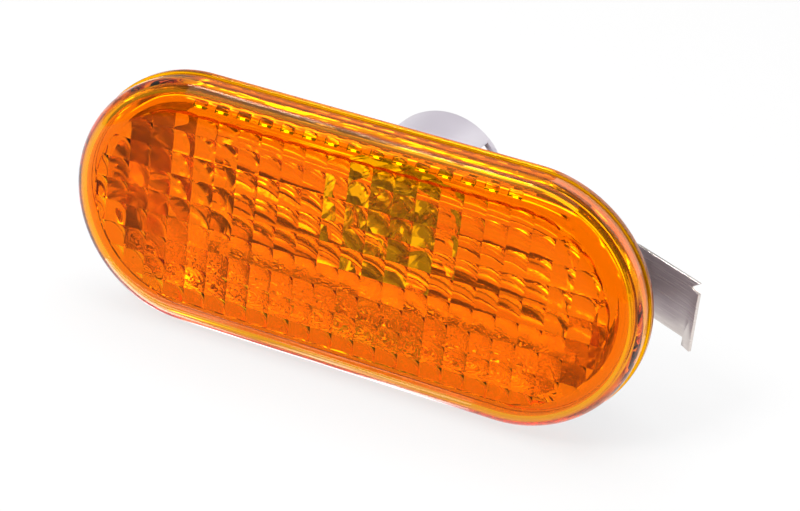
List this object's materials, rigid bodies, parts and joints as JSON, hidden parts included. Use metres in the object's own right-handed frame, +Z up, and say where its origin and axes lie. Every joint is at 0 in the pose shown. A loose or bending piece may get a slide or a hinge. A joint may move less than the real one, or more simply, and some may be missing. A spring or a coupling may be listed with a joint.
{
  "type": "vehicle indicator lamp",
  "caption": "Oval amber side indicator lamp: pillow-optic lens welded to a pale tray with a round bulb tube, a wedge bulb in its holder and a steel spring clip for the panel edge",
  "frame": {"origin": "centre of the rim's rear face, on the outer surface of the body panel", "axes": "+X along the lamp towards the spring clip, +Y into the panel away from the lens, +Z up"},
  "size_m": [0.0981, 0.0482, 0.0404],
  "materials": {
    "amber_lens": "clear amber moulded lens plastic, polished",
    "pale_housing": "smooth pale grey moulding",
    "spring_steel": "satin rolled sheet",
    "holder_plastic": "natural moulded nylon",
    "contact_brass": "stamped strip",
    "bulb_glass": "clear blown glass",
    "lead_wire": "bright drawn wire",
    "filament_wire": "coiled wire"
  },
  "bodies": {
    "root": {"lens": "amber_lens", "housing": "pale_housing", "spring_clip": "spring_steel", "bulb_holder": "holder_plastic", "upper_contact": "contact_brass", "lower_contact": "contact_brass", "bulb_glass": "bulb_glass", "bulb_leads": "lead_wire", "bulb_filament": "filament_wire"}
  },
  "joints": []
}
